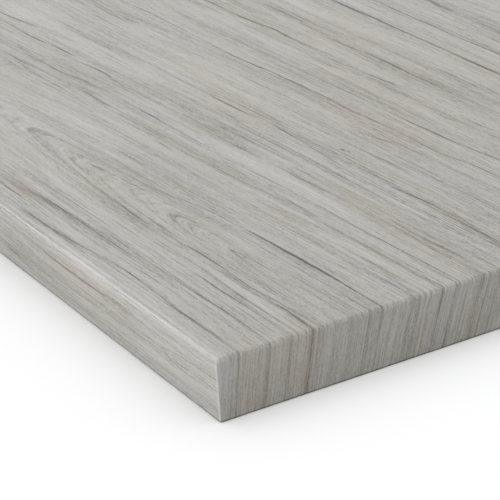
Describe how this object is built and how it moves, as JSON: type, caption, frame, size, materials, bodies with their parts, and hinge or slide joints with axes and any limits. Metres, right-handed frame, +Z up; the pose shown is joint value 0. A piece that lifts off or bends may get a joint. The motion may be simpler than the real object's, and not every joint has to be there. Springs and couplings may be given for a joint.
{
  "type": "laminate worktop",
  "caption": "Straight rectangular worktop: a board core with a pale wood-pattern sheet on top, a backing sheet below and matching edging with a rounded top arris all round.",
  "frame": {"origin": "centre of the underside", "axes": "+X along the length to the right end, +Y from the front edge to the back edge, +Z up out of the decor face"},
  "size_m": [2.46, 0.635, 0.038],
  "materials": {
    "core_board": "matte",
    "decor_laminate": "satin",
    "backing_sheet": "matte",
    "edging": "satin"
  },
  "bodies": {
    "root": {"core_board": "core_board", "decor_laminate": "decor_laminate", "backing_sheet": "backing_sheet", "front_edging": "edging", "back_edging": "edging", "left_end_edging": "edging", "right_end_edging": "edging"}
  },
  "joints": []
}
